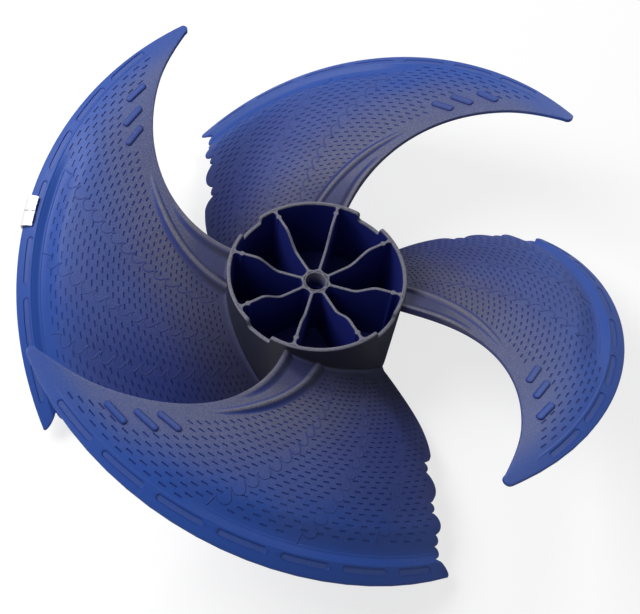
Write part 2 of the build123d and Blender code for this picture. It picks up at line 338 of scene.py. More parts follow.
def inner_radius(height):
    """The wall of the pockets between the webs, wider towards the mouth."""
    return HUB_RADIUS - HUB_WALL - (HUB_HEIGHT - height) * INNER_DRAFT


# shares of the outer and the inner wall's height; the closest pairs end the edge's dust and
# painted highlight there
rise, fall = np.array([0.0, 0.04, 0.3, 0.6, 0.85, 0.99, 1.0]), np.array([0.01, 0.3, 0.7, 1.0])
shoulder = top - MOUTH_ROUND
outer_z = rise * shoulder
round_z = shoulder + out_sin * MOUTH_ROUND
round_r = outer_radius(top) - MOUTH_ROUND + out_cos * MOUTH_ROUND
back_z = shoulder + in_sin * MOUTH_ROUND
back_r = inner_radius(top) + MOUTH_ROUND + in_cos * MOUTH_ROUND
inner_z = shoulder + (POCKET_FOOT - shoulder) * fall
base_r = inner_radius(FLOOR_TOP)
foot_r = np.broadcast_to([base_r, base_r, base_r + BASE_CHAMFER], (len(angles), 3))
foot_z = np.broadcast_to([FLOOR_BOTTOM, BASE_CHAMFER, 0.0], (len(angles), 3))
shell_r = np.hstack([outer_radius(outer_z), round_r, back_r, inner_radius(inner_z), foot_r])
shell_z = np.hstack([outer_z, round_z, back_z, inner_z, foot_z])
dusty_highlights = np.zeros(shell_r.shape)
# the mouth's round carries dust and a painted highlight
dusty_highlights[:, rise.size:rise.size + out_cos.size + in_cos.size] = DUSTY_HIGHLIGHT
hub.grid(turned(shell_r, angles, shell_z), closed_u=True, closed_v=True, mark=dusty_highlights)

# boss and floor: one profile turned round the axis
BORE_RADIUS, NUT_RADIUS, BOSS_RADIUS, BOSS_TOP, NUT_FLOOR = 6.0, 9.3, 12.25, 98.0, 78.0
BORE_CHAMFER, NUT_ROUND, BOSS_ROUND, BOSS_FILLET = 0.5, 0.6, 1.0, 2.5
SLEEVE_RADIUS, SLEEVE_CHAMFER, FLOOR_RADIUS = BOSS_RADIUS + 1.8, 0.4, 77.8
DUSTY_HIGHLIGHT_END = 1.6
boss_foot = BOSS_RADIUS + (BOSS_TOP - FLOOR_TOP) * INNER_DRAFT
fillet_cos, fillet_sin = quarter(180, 270, 6)
edge_cos, edge_sin = quarter(90, 0, 5)
lip_cos, lip_sin = quarter(180, 90, 4)
boss_r = np.concatenate([
    [BORE_RADIUS + BORE_CHAMFER, BORE_RADIUS, BORE_RADIUS, NUT_RADIUS],
    NUT_RADIUS + NUT_ROUND + NUT_ROUND * lip_cos,
    BOSS_RADIUS - BOSS_ROUND + BOSS_ROUND * edge_cos,
    [BOSS_RADIUS + 0.01],
    boss_foot + BOSS_FILLET + BOSS_FILLET * fillet_cos,
    [30.0, 55.0, FLOOR_RADIUS, FLOOR_RADIUS, 50.0],
    [SLEEVE_RADIUS, SLEEVE_RADIUS, SLEEVE_RADIUS - SLEEVE_CHAMFER],
])
boss_z = np.concatenate([
    [0.0, BORE_CHAMFER, NUT_FLOOR, NUT_FLOOR],
    BOSS_TOP - NUT_ROUND + NUT_ROUND * lip_sin,
    BOSS_TOP - BOSS_ROUND + BOSS_ROUND * edge_sin,
    [BOSS_TOP - DUSTY_HIGHLIGHT_END],
    FLOOR_TOP + BOSS_FILLET + BOSS_FILLET * fillet_sin,
    [FLOOR_TOP, FLOOR_TOP, FLOOR_TOP, FLOOR_BOTTOM, FLOOR_BOTTOM],
    [FLOOR_BOTTOM, BORE_CHAMFER, 0.0],
])
around = np.arange(0, 360, 3.0)[:, None]
# the boss's top round carries dust and a painted highlight
dusty_highlights = np.where(boss_z > BOSS_TOP - 0.95 * BOSS_ROUND, DUSTY_HIGHLIGHT, 0.0) + 0 * around
hub.grid(turned(boss_r, around, boss_z), closed_u=True, closed_v=True, flip=True, mark=dusty_highlights)

# webs: upright walls from boss to shell, flared where they meet them, with a round ejector
# pad near the shell; their top edge climbs in an S from the boss's level to the mouth's
WEB_COUNT, WEB_ANGLE, WEB_THICK, WEB_CORNER = 8, 29.0, 2.7, 3.2
WEB_ROUND, WEB_SINK, WEB_FROM, WEB_TO = 0.8, 2.0, 10.4, 80.0
RAMP_START, RAMP_END, PAD_RADIUS, PAD_AT = 34.0, 58.0, 2.5, 71.0


def flare(distance):
    """Added half thickness near a wall: a round corner seen from above."""
    near = np.clip(WEB_CORNER - distance, 0, WEB_CORNER)
    return WEB_CORNER - np.sqrt(WEB_CORNER**2 - near**2)


def web_top(radius):
    """Height of a web's top edge."""
    t = np.clip((radius - RAMP_START) / (RAMP_END - RAMP_START), 0, 1)
    return BOSS_TOP + (HUB_HEIGHT - BOSS_TOP) * t * t * (3 - 2 * t)


boss_end = np.concatenate([WEB_FROM + 0.15 * np.arange(3), WEB_FROM + 1.5 + 0.45 * np.arange(9)])
pad = PAD_AT + PAD_RADIUS * np.sin(np.radians(np.linspace(-90, 90, 15)))
shell_end = WEB_TO - 0.42 * np.arange(15)[::-1]
stations = np.sort(np.concatenate([boss_end, np.linspace(17, 67, 41), pad, shell_end]))
stations = stations[(stations < PAD_AT + PAD_RADIUS) | (stations > PAD_AT + PAD_RADIUS + 0.5)]
half = WEB_THICK / 2 + flare(stations - BOSS_RADIUS) + flare(inner_radius(HUB_HEIGHT) - stations)
pad_half = np.sqrt(np.clip(PAD_RADIUS**2 - (stations - PAD_AT) ** 2, 0, None))
half = np.maximum(half, pad_half)
side_cos, side_sin = quarter(0, 90, 4)
crest = web_top(stations)[:, None]
levels = np.array([0.0, 0.5, 0.99, 1.0])
foot_half = half + (HUB_HEIGHT - FLOOR_TOP) * INNER_DRAFT * 0.4
web_foot = FLOOR_TOP - WEB_SINK
wall_z = web_foot + levels * (crest - WEB_ROUND - web_foot)
wall_w = foot_half[:, None] + levels * (half - foot_half)[:, None]
cap_z = crest - WEB_ROUND + WEB_ROUND * side_sin
cap_w = (half - WEB_ROUND)[:, None] + WEB_ROUND * side_cos
right_w = np.hstack([wall_w, cap_w[:, 1:]])
right_z = np.hstack([wall_z, cap_z[:, 1:]])
web_w = np.hstack([right_w, -right_w[:, ::-1]])
web_z = np.hstack([right_z, right_z[:, ::-1]])
web_r = np.broadcast_to(stations[:, None], web_w.shape)
# the webs' top edges carry dust and a painted highlight
dusty_highlights = np.where(web_z > crest - 0.98 * WEB_ROUND, DUSTY_HIGHLIGHT, 0.0)
for i in range(WEB_COUNT):
    turn = np.radians(WEB_ANGLE + i * 360 / WEB_COUNT)
    web_x = web_r * np.cos(turn) - web_w * np.sin(turn)
    web_y = web_r * np.sin(turn) + web_w * np.cos(turn)
    points = np.stack([web_x, web_y, web_z], -1)
    hub.tube(points, dusty_highlights)

hub_piece = hub.object("hub", plastic)
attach(hub_piece, "root")
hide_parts("impeller")

# ---------------------------------------------------------------- blades
# Four thin blades swept forward, moulded on the hub. Each has two ribs at its leading edge, a
# field of small recessed dashes in arcs, feather-like fine steps, a gutter and a rim flange
# with long recesses, and a toothed trailing edge.
BLADE_COUNT, RIM_RADIUS = 4, 275.0
SPAN = RIM_RADIUS - HUB_RADIUS
polynomial = np.polynomial.polynomial.polyval


def smooth(value):
    """0 below 0, 1 above 1, and a smooth S between."""
    t = np.clip(value, 0, 1)
    return t * t * (3 - 2 * t)


def ramp(value, start, stop):
    """0 at start, 1 at stop, and a smooth S between. stop may be the smaller."""
    return smooth((value - start) / (stop - start))


def share(radius):
    """0 at the hub's wall, 1 at the rim."""
    return (radius - HUB_RADIUS) / SPAN


def three_point(first, middle, last):
    """Centre (x, y) and radius of the circle through three plan points given as radius, angle."""
    p, q, s = (turned(*point, 0.0)[:2] for point in (first, middle, last))
    matrix = 2 * np.array([q - p, s - p])
    centre = np.linalg.solve(matrix, [q @ q - p @ p, s @ s - p @ p])
    return centre, np.linalg.norm(p - centre)


# outline: the outer edge is a circle through three points given as radius and angle
TIP_ANGLE, TIP_MIDDLE, TIP_HALF, TIP_NOSE = 119.7, 263.6, 4.8, 1.05
LEAD_START, LEAD_SWEEP, LEAD_POWER = 159.0, 45.0, 1.8
HORN_FROM, HORN_RUN, HORN_SWING = 233.0, 26.0, 0.9
TRAIL_SWEEP = (240.8, -63.2, 26.6)
RIM_START, RIM_MIDDLE, RIM_END = (268.4, TIP_ANGLE), (RIM_RADIUS, 165.0), (272.3, 204.5)
rim_centre, rim_circle = three_point(RIM_START, RIM_MIDDLE, RIM_END)
rim_reach = np.hypot(*rim_centre)
rim_turn = np.degrees(np.arctan2(rim_centre[1], rim_centre[0]))


def rim_edge(angle):
    """Radius of the blade's outer edge: a circle a little off the axis."""
    turn = np.radians(np.maximum(angle, TIP_ANGLE) - rim_turn)
    return rim_reach * np.cos(turn) + np.sqrt(rim_circle**2 - (rim_reach * np.sin(turn)) ** 2)


def plain_lead(radius):
    """Angle of the leading edge's sweep: it falls with a power of the span share."""
    return LEAD_START - LEAD_SWEEP * np.maximum(share(radius), 0) ** LEAD_POWER


def lead_edge(radius):
    """Leading edge: the sweep, a little slimmer at the horn, and the tip's nose, half an oval."""
    sweep = plain_lead(radius) - HORN_SWING * smooth((radius - HORN_FROM) / HORN_RUN)
    out = np.clip(np.abs(radius - TIP_MIDDLE) / TIP_HALF, 0, 1)
    nose = TIP_ANGLE - TIP_NOSE * np.sqrt(1 - out**2)
    return np.where(radius > TIP_MIDDLE - TIP_HALF, nose, sweep)


# trailing edge: each tooth's start, peak, corner and bend, then the root lobe, as radius, angle
TEETH = (
    ((178.4, 213.3), (182.6, 213.9), (185.4, 213.4), (186.8, 212.8)),
    ((187.0, 212.0), (198.4, 212.6), (211.0, 209.9), (213.0, 208.8)),
    ((213.4, 207.8), (217.4, 208.6), (220.2, 208.3), (221.7, 207.6)),
    ((221.9, 206.9), (230.5, 208.3), (237.2, 207.2), (238.5, 206.3)),
    ((238.6, 205.4), (242.2, 206.1), (245.4, 205.7), (246.6, 205.0)),
    ((246.8, 204.3), (251.2, 205.2), (254.8, 204.8), (256.3, 204.1)),
    ((256.5, 203.4), (264.0, 205.0), (269.6, 205.3), (271.8, 205.1)),
)
LOBE = (
    (79.0, 241.9), (82.0, 240.8), (93.6, 235.7), (126.0, 228.2), (153.5, 222.9), (168.5, 219.9),
)
LOBE_BEND = ((174.8, 218.0), (177.9, 216.2), (178.3, 213.6))


def arc_line(first, middle, last, count=12):
    """Radii and angles of points along the arc through three plan points."""
    centre, size = three_point(first, middle, last)
    ends = [turned(*point, 0.0)[:2] - centre for point in (first, middle, last)]
    turns = np.unwrap([np.arctan2(end[1], end[0]) for end in ends])
    steps = np.linspace(turns[0], turns[-1], count)
    x, y = centre[0] + size * np.cos(steps), centre[1] + size * np.sin(steps)
    return np.stack([np.hypot(x, y), np.degrees(np.arctan2(y, x)) % 360])


def trail_line():
    """The trailing edge from hub to rim, as radii that only grow and their angles."""
    radii, turns = np.array(LOBE + (LOBE_BEND[0],)).T
    fit = np.polynomial.Polynomial.fit(radii, turns, 4)
    lobe_r = np.linspace(radii[0], radii[-1], 40)
    pieces = [np.stack([lobe_r, fit(lobe_r)]), arc_line(*LOBE_BEND)]
    ends = [tooth[0] for tooth in TEETH[1:]] + [RIM_END]
    for (start, peak, corner, bend), end in zip(TEETH, ends):
        pieces += [arc_line(start, peak, corner), arc_line(corner, bend, end)]
    line = np.hstack(pieces)
    line[0] = np.maximum.accumulate(line[0] + np.arange(line.shape[1]) * 1e-6)
    return line


trail_radii, trail_turns = trail_line()


def trail_edge(radius):
    """Angle of the toothed trailing edge."""
    return np.interp(radius, trail_radii, trail_turns)


def plain_trail(radius):
    """Trailing edge without its teeth, which the sheet's heights are measured by."""
    return polynomial(share(radius), TRAIL_SWEEP)


# sheet: polynomials in the span share for the two edges' heights, one in the chord share for
# the fall between them, a gutter inside the rim, and the thickness in mm
LEAD_HEIGHT, TRAIL_HEIGHT = (100.9, 15.8, 165.7, -90.5), (6.6, 12.2, 121.0, -123.6)
CHORD_FALL = (0.0, 0.5, 0.2, 0.3)
GUTTER_AT, GUTTER_IN, GUTTER_OUT, GUTTER_DEPTH = 251.5, 20.0, 11.0, 6.0
GUTTER_START, GUTTER_RUN = 148.0, 20.0
LEAD_THICK, THINNING, ROOT_THICKER = 3.6, 1.2, 1.6


def chord_share(radius, angle):
    """0 at the leading edge's sweep, 1 at the plain trailing edge."""
    lead = plain_lead(radius)
    return (angle - lead) / (plain_trail(radius) - lead)


def sheet_height(radius, angle):
    """Upper face without its small features. Both edges climb outwards by a cubic in the span
    share; along the chord the face falls ever faster; the gutter is an S in and an S out."""
    x = share(radius)
    high, low = polynomial(x, LEAD_HEIGHT), polynomial(x, TRAIL_HEIGHT)
    width = np.where(radius < GUTTER_AT, GUTTER_IN, GUTTER_OUT)
    gutter = smooth(1 - np.abs(radius - GUTTER_AT) / width)
    gutter = gutter * smooth((angle - GUTTER_START) / GUTTER_RUN)
    fall = polynomial(chord_share(radius, angle), CHORD_FALL)
    return high + (low - high) * fall - GUTTER_DEPTH * gutter


def sheet_thickness(radius, angle):
    """Upright thickness: thinner towards the trailing edge, thicker at the hub."""
    u = np.clip(chord_share(radius, angle), 0, 1)
    return LEAD_THICK - THINNING * u + ROOT_THICKER * np.maximum(1 - share(radius), 0) ** 2


# the ribs' ground: between the two ribs of the leading edge's root the face stands higher
RIB_STEP, STEP_SHIFT, STEP_RUN, RIB_END, RIB_FADE = 1.2, 1.0, 6.5, 188.0, 50.0
CREST_RADIUS, CREST_ANGLE, CREST_LEAN = 175.0, 151.0, 0.327


def crest_angle(radius):
    """Angle of the inner rib's crest, a spiral."""
    return CREST_ANGLE + CREST_LEAN * (CREST_RADIUS - radius)


def ground_height(radius, angle):
    """Upper face with the raised ground between the ribs, which fades out along them."""
    off = np.radians(angle - crest_angle(radius)) * radius
    step = smooth(1 - (off + STEP_SHIFT) / STEP_RUN) * smooth((RIB_END - radius) / RIB_FADE)
    return sheet_height(radius, angle) + RIB_STEP * step


# rib profiles: distance across, height over the ground, mark (above 0 painted shade on the
# flanks, below 0 dust and a painted highlight on the crest)
LEAD_RIB = np.array([
    (0.06, -1.5, 0.0), (0.06, 1.6, -0.2), (0.4, 2.5, -0.5), (1.2, 3.0, -0.7), (2.6, 3.1, -0.7),
    (4.0, 2.9, -0.5), (5.0, 2.4, 0.1), (6.0, 1.6, 0.9), (7.2, 0.8, 1.0), (8.8, 0.2, 0.8),
    (10.2, 0.0, 0.2), (10.6, -0.6, 0.0),
])
INNER_RIB = np.array([
    (-7.0, -0.6, 0.0), (-6.6, 0.0, 0.2), (-5.8, 0.15, 0.75), (-4.8, 0.6, 0.5), (-3.6, 1.7, 0.0),
    (-2.4, 2.7, -0.5), (-1.0, 3.2, -0.7), (0.6, 3.2, -0.7), (1.8, 2.8, -0.3), (2.8, 2.0, 0.6),
    (3.9, 1.1, 1.0), (5.4, 0.4, 1.0), (7.4, 0.05, 0.5), (8.4, 0.0, 0.1), (8.9, -0.6, 0.0),
])
END_SINK, SINK_OVER, STAIN_OVER = 0.35, 0.25, 0.625


def rib_skin(profile, radius, start, fade, narrow):
    """A rib: its profile carried along a line of radii and start angles. As the fade goes from
    1 to 0 it gets lower and narrower, its marks fade, and its end sinks into the face."""
    across, up, mark = profile.T
    across = across * (1 - narrow * (1 - fade[:, None]))
    angle = start[:, None] + np.degrees(across / radius[:, None])
    radius = np.broadcast_to(radius[:, None], angle.shape)
    sink = END_SINK * (1 - np.minimum(fade[:, None] / SINK_OVER, 1))
    height = ground_height(radius, angle) + np.where(up > 0, up * fade[:, None], up) - sink
    mark = mark * np.minimum(fade[:, None] / STAIN_OVER, 1)
    # the rib's marks, painted shade on the flanks and dust with a painted highlight on the crest,
    # over the face's marks
    shade_marks = face_mark(radius, angle) * (1 - np.abs(mark)) + mark
    return turned(radius, angle, height), shade_marks


# dashes: rows along arcs, every other row set off by one slot. A dash's sides are given in mm
# across the row and its ends in degrees along it, at the face and at its floor.
ROW_TOP, ROW_PITCH, ROW_COUNT = 255.75, 4.72, 36
DASH_FIRST, DASH_PITCH, DASH_COUNT, DASH_FROM = 129.5, 1.52, 82, -8
DASH_SIDE, DASH_SIDE_FLOOR, DASH_END, DASH_END_FLOOR, DASH_DEPTH = 0.76, 0.46, 0.76, 0.64, 0.65
rows = np.arange(ROW_COUNT)
row_radii = ROW_TOP - ROW_PITCH * rows
slots = np.arange(DASH_FROM, DASH_FROM + DASH_COUNT)
slot_angles = DASH_FIRST + DASH_PITCH * slots

# feathers: fine steps made of rounded scallops, one after another from the rim to the hub;
# each is given by the radius and angle of its start, its count of scallops and its mark, the
# painted shadow of the step
SCALLOP_LENGTH, SCALLOP_LEAN = 10.6, 0.19
FEATHERS = ((240.6, 159.5, 14, 0.36), (242.1, 176.2, 14, 0.34), (234.1, 192.0, 13, 0.45))


def feather_base(which, radius):
    """Angle of the line that joins a feather step's inner corners."""
    start, angle = FEATHERS[which][:2]
    return angle + SCALLOP_LEAN * (start - radius)


# rows from which the first angle starts afresh, past the bars and past the ribs, and the last
# angles of the rows at the rim; how far dashes keep off the teeth, and off each feather's line
ROW_STARTS = ((0, DASH_FIRST), (4, 141.5), (11, 149.0), (12, 147.5))
ROW_STOPS, NO_STOP, START_PLAY = (154.4, 156.6, 173.0), 300.0, 0.3
TOOTH_REACH, TOOTH_CLEAR = 1.5, 2.2
FEATHER_CLEAR, FEATHER_TOP, LEAD_IN_SHIFT, LEAD_IN_CLEAR = (0.35, 3.1), 243.0, 0.4, 1.1


def dash_field():
    """Which dashes are there: rows by slots, every other slot. A row's first angle moves on by
    one slot from row to row. Dashes keep off the ribs, bars, feathers, rim and teeth."""
    row, slot = rows[:, None], slots[None, :]
    radius, angle = row_radii[:, None], slot_angles[None, :]
    first, last = np.zeros(ROW_COUNT), np.full(ROW_COUNT, NO_STOP)
    for start_row, start_angle in ROW_STARTS:
        first[start_row:] = start_angle + DASH_PITCH * (rows[start_row:] - start_row)
    last[:len(ROW_STOPS)] = ROW_STOPS
    reach = np.array([-TOOTH_REACH, 0, TOOTH_REACH])[:, None]
    teeth = np.min(trail_edge(row_radii + reach), axis=0)
    stop = np.minimum(last, teeth - TOOTH_CLEAR)[:, None]
    there = ((slot - row) % 2 == 0) & (angle > first[:, None] - START_PLAY) & (angle < stop)
    for which, feather in enumerate(FEATHERS):
        off = angle - feather_base(which, radius)
        at_line = (off > FEATHER_CLEAR[0]) & (off < FEATHER_CLEAR[1]) & (radius < FEATHER_TOP)
        near_lead_in = np.abs(angle - feather[1] + LEAD_IN_SHIFT) < LEAD_IN_CLEAR
        at_start = near_lead_in & (radius > FEATHER_TOP - 1)
        there = there & ~(at_line | at_start)
    return there


dashes = dash_field()

# recesses in the rim flange
POCKET_AT, POCKET_HALF, POCKET_DEPTH, POCKET_SLOPE = 265.0, 2.7, 0.9, 0.5
POCKET_COUNT, POCKET_FIRST, POCKET_PITCH, POCKET_LENGTH, LAST_SHORTER = 7, 129.1, 10.9, 8.5, 1.6
pocket_start = POCKET_FIRST + POCKET_PITCH * np.arange(POCKET_COUNT)
pocket_stop = pocket_start + POCKET_LENGTH
pocket_stop[-1] -= LAST_SHORTER
POCKETS = tuple(zip(pocket_start, pocket_stop))


def slot_distance(radius, angle, middle, half, start, stop):
    """Distance inside (+) or outside (-) a slot with round ends that follows an arc."""
    cap = np.degrees(half / middle)
    along = np.clip(angle, start + cap, stop - cap)
    side = np.radians(angle - along) * middle
    return half - np.hypot(radius - middle, side)


EDGE_ROUND, ROOT_FILLET = 0.9, 3.0
STEP_AT, STEP_HIGH, STEP_BACK_AT, STEP_BACK, STEP_WIDE = 259.6, 0.45, 261.0, 0.35, 0.8
STEP_START, STEP_FULL = 126.0, 130.0
RIDGE_AT, RIDGE_HALF, RIDGE_HIGH, RIDGE_START, RIDGE_FADE = 252.5, 0.55, 0.45, 158.0, (0.8, 2)


def worn_edge(distance):
    """How far the face drops near an edge, for a small rounding."""
    near = np.clip(EDGE_ROUND - distance, 0, EDGE_ROUND)
    return EDGE_ROUND - np.sqrt(EDGE_ROUND**2 - near**2)


def face_height(radius, angle):
    """Upper face with its small features, but for the dashes, the feathers and the ribs: a
    step at the rim flange, a ridge with a bell section beside the gutter, the flange's
    recesses, a round fillet at the hub, and all edges rounded off."""
    height = ground_height(radius, angle)
    rim_step = STEP_HIGH * smooth((radius - STEP_AT) / STEP_WIDE)
    rim_step = rim_step - STEP_BACK * smooth((radius - STEP_BACK_AT) / STEP_WIDE)
    height = height + rim_step * ramp(angle, STEP_START, STEP_FULL)
    ridge = np.exp(-(((radius - RIDGE_AT) / RIDGE_HALF) ** 2))
    ridge = ridge * smooth((angle - RIDGE_START) / RIDGE_FADE[0])
    ridge = ridge * smooth((trail_edge(RIDGE_AT) - angle) / RIDGE_FADE[1])
    height = height + RIDGE_HIGH * ridge
    for start, stop in POCKETS:
        inside = slot_distance(radius, angle, POCKET_AT, POCKET_HALF, start, stop)
        height = height - POCKET_DEPTH * smooth(inside / POCKET_SLOPE)
    near_hub = np.clip(ROOT_FILLET - (radius - HUB_RADIUS), 0, ROOT_FILLET)
    height = height + ROOT_FILLET - np.sqrt(ROOT_FILLET**2 - near_hub**2)
    height = height - worn_edge(rim_edge(angle) - radius)
    height = height - worn_edge(np.radians(angle - lead_edge(radius)) * radius)
    return height - worn_edge(np.radians(trail_edge(radius) - angle) * radius)


LEADING_DUST, TRAILING_SHADE, HUB_SHADE = 0.48, 0.62, 0.5
POCKET_SHADE_LINE, POCKET_LINE_HALF, POCKET_DUST = 0.5, 0.5, 0.16


def face_mark(radius, angle):
    """Marks of the plain face: dust behind the leading edge, painted shade towards the trailing
    edge and near the hub, a dark line of painted shade round each rim recess and dust in it."""
    behind = np.radians(angle - plain_lead(radius)) * radius
    u = chord_share(radius, angle)
    dust = ramp(behind, 120, 10) * ramp(radius, 95, 145) * (1 - 0.7 * ramp(radius, 238, 260))
    trailing = ramp(u, 0.42, 0.92) * ramp(radius, 262, 202) * ramp(radius, 80, 160)
    at_hub = ramp(radius, 130, 85) * ramp(u, 0.42, 0.22)
    # painted shade towards the trailing edge and near the hub, dust behind the leading edge
    mark = TRAILING_SHADE * trailing + HUB_SHADE * at_hub - LEADING_DUST * dust
    for start, stop in POCKETS:
        inside = slot_distance(radius, angle, POCKET_AT, POCKET_HALF, start, stop)
        line = np.exp(-((inside / POCKET_LINE_HALF) ** 2))
        # the dark line round each recess is painted shade
        mark = mark + POCKET_SHADE_LINE * line - POCKET_DUST * ramp(inside, 0, 0.9)
    return mark


# lines of the grid: nominal radii, which beyond FAN_IN are drawn in to the outer edge, and the
# distances in mm from the leading and the trailing edge of the lines that round them off
FAN_IN = RIM_START[0]
EDGE_INSETS = (0.0, 0.12, 0.4, 0.9)
EDGE_LINES = len(EDGE_INSETS) - 1
ROW_SHOULDER, PLAIN_BELOW, BAND_LINE = 1.55, 176.0, ROW_TOP + ROW_PITCH / 2
ROOT_LINES = (79.0, 81.6, 82.0, 82.3, 82.8, 83.6, 85.0, 86.6)
RIDGE_LINES = (252.15, RIDGE_AT, 252.85, 253.15)


def radius_lines():
    """Radii of the field's lines, with the row and the floor weight of each. Rows far in have
    no shoulder lines, and lines at the root and the ridge belong to no row."""
    side, floor = DASH_SIDE, DASH_SIDE_FLOOR
    steps = np.array([-ROW_PITCH / 2, -ROW_SHOULDER, -side, -floor, floor, side, ROW_SHOULDER])
    radii = (row_radii[::-1, None] + steps).ravel()
    which = np.repeat(rows[::-1], len(steps))
    deep = np.tile(np.abs(steps) == floor, ROW_COUNT).astype(float)
    keep = (radii > PLAIN_BELOW) | np.tile(np.abs(steps) != ROW_SHOULDER, ROW_COUNT)
    plain = np.array(ROOT_LINES + RIDGE_LINES + (BAND_LINE,))
    radii = np.concatenate([radii[keep], plain])
    which = np.concatenate([which[keep], np.full(len(plain), -1)])
    deep = np.concatenate([deep[keep], np.zeros(len(plain))])
    order = np.argsort(radii)
    return radii[order], which[order], deep[order]


RIM_LINES = np.array([
    258.8, 259.6, 259.9, 260.4, 260.7, 261.0, 261.4, 261.8, 262.3, 262.55, 262.8, 263.4, 264.2,
    265.0, 265.8, 266.6, 267.2, 267.45, 267.7, 268.1, 268.4, 269.6, 270.8, 272.0, 273.1, 273.8,
    274.1, 274.45, 274.75, 274.92, 275.0,
])


def spread(lines, columns):
    """Grid of radius and angle. Columns that lie outside the blade are drawn in to its edges,
    where a few lines set close together round the edge off."""
    nominal = lines[:, None] + 0 * columns[None, :]
    radius = nominal
    for _ in range(4):
        width = np.degrees(EDGE_INSETS[-1] / radius)
        angle = np.clip(columns[None, :], lead_edge(radius) + width, trail_edge(radius) - width)
        fan = (nominal - FAN_IN) / (RIM_RADIUS - FAN_IN)
        drawn = FAN_IN + fan * (rim_edge(angle) - FAN_IN)
        radius = np.where(nominal > FAN_IN, drawn, nominal)
    first, last = radius[:, :1], radius[:, -1:]
    before = [lead_edge(first) + np.degrees(inset / first) for inset in EDGE_INSETS[:-1]]
    after = [trail_edge(last) - np.degrees(inset / last) for inset in EDGE_INSETS[-2::-1]]
    angle = np.hstack(before + [angle] + after)
    radius = np.hstack([first] * EDGE_LINES + [radius] + [last] * EDGE_LINES)
    return radius, angle


def same_point(angle):
    """Index of each grid point, with the points drawn in to one place sharing one index."""
    height, width = angle.shape
    line, column = np.arange(height)[:, None], np.arange(width)[None, :]
    inner = angle[:, EDGE_LINES:-EDGE_LINES]
    first = EDGE_LINES + np.sum(inner <= inner[:, :1] + 1e-9, axis=1) - 1
    last = EDGE_LINES + np.sum(inner < inner[:, -1:] - 1e-9, axis=1)
    shared = np.clip(column, first[:, None], last[:, None])
    at_edge = (column < EDGE_LINES) | (column >= width - EDGE_LINES)
    return line * width + np.where(at_edge, column, shared)


def squares(index):
    """Triangles between neighbouring grid points, without those drawn in to a line."""
    a, b, c, d = index[:-1, :-1], index[1:, :-1], index[1:, 1:], index[:-1, 1:]
    faces = np.concatenate([np.stack([a, b, c], -1), np.stack([a, c, d], -1)]).reshape(-1, 3)
    return faces[np.all(faces != np.roll(faces, 1, axis=1), axis=1)]


def zip_lines(near, near_at, far, far_at):
    """Triangles between two lines of points with different spacing: points are taken in the
    order of their place along the lines, and each one closes a triangle with the last two."""
    from_far = np.repeat([0, 1], [len(near) - 1, len(far) - 1])
    order = np.argsort(np.concatenate([near_at[1:], far_at[1:]]), kind="stable")
    from_far = from_far[order]
    i = np.cumsum(1 - from_far) - (1 - from_far)
    j = np.cumsum(from_far) - from_far
    next_near = near[np.minimum(i + 1, len(near) - 1)]
    next_far = far[np.minimum(j + 1, len(far) - 1)]
    return np.stack([near[i], far[j], np.where(from_far == 0, next_near, next_far)], -1)


def row_line(index, angle, row):
    """One grid row as a line of distinct points and their angles."""
    points, first = np.unique(index[row], return_index=True)
    return points, angle[row][first]


dash_columns = np.array([-DASH_END_FLOOR, DASH_END_FLOOR, DASH_END])
field_columns = (slot_angles[:, None] + dash_columns).ravel()
cap_angles = np.degrees(POCKET_HALF / POCKET_AT) * np.linspace(0, 1, 8)
pocket_columns = np.concatenate([
    ends for start, stop in POCKETS for ends in (start + cap_angles, stop - cap_angles)
])
rim_columns = np.sort(np.concatenate([field_columns[::3], field_columns[2::3], pocket_columns]))
under_columns = np.arange(117.0, 243.0, 4.2)
DASH_SHADE_FADE = 0.65  # how much less painted shade the dashes hold near the rim


def blade_skin():
    """One blade at its own place, as a closed skin: the field of dashes, the rim band joined
    to it, the under face, and the walls round all the edges."""
    lines, which, deep = radius_lines()
    radius, angle = spread(lines, field_columns)
    slot = np.repeat(np.arange(DASH_COUNT), len(dash_columns))
    floor = np.tile(dash_columns < DASH_END, DASH_COUNT)
    cut = deep[:, None] * floor[None, :] * dashes[which][:, slot]
    cut = np.pad(cut, ((0, 0), (EDGE_LINES, EDGE_LINES)))
    # the dash floors hold painted shade, less of it near the rim's rear
    shade_fade = DASH_SHADE_FADE * ramp(radius, 205, 235) * ramp(angle, 152, 172)
    mark = np.where(cut > 0, cut * (1 - shade_fade), face_mark(radius, angle))
    height = face_height(radius, angle) - DASH_DEPTH * cut
    index = same_point(angle)

    rim_r, rim_angle = spread(RIM_LINES, rim_columns)
    rim_index = same_point(rim_angle) + angle.size
    low_r, low_angle = spread(np.concatenate([lines, RIM_LINES]), under_columns)
    low_index = same_point(low_angle) + angle.size + rim_angle.size
    low_height = sheet_height(low_r, low_angle) - sheet_thickness(low_r, low_angle)
    points = np.concatenate([
        turned(radius, angle, height).reshape(-1, 3),
        turned(rim_r, rim_angle, face_height(rim_r, rim_angle)).reshape(-1, 3),
        turned(low_r, low_angle, low_height).reshape(-1, 3),
    ])
    rim_mark = face_mark(rim_r, rim_angle)
    marks = np.concatenate([mark.ravel(), rim_mark.ravel(), np.zeros(low_angle.size)])

    top_index = np.vstack([index[:, [0, -1]], rim_index[:, [0, -1]]])
    faces = np.concatenate([
        squares(index),
        squares(rim_index),
        zip_lines(*row_line(index, angle, -1), *row_line(rim_index, rim_angle, 0)),
        squares(low_index)[:, ::-1],
        squares(np.stack([low_index[:, 0], top_index[:, 0]], 1)),
        squares(np.stack([top_index[:, 1], low_index[:, -1]], 1)),
        zip_lines(*row_line(rim_index, rim_angle, -1), *row_line(low_index, low_angle, -1)),
        zip_lines(*row_line(low_index, low_angle, 0), *row_line(index, angle, 0)),
    ])
    return points, faces, marks


BEAD_HALF, BEAD_HIGH, BEAD_SINK, BEAD_FOOT = 0.75, 0.42, 0.5, 0.8


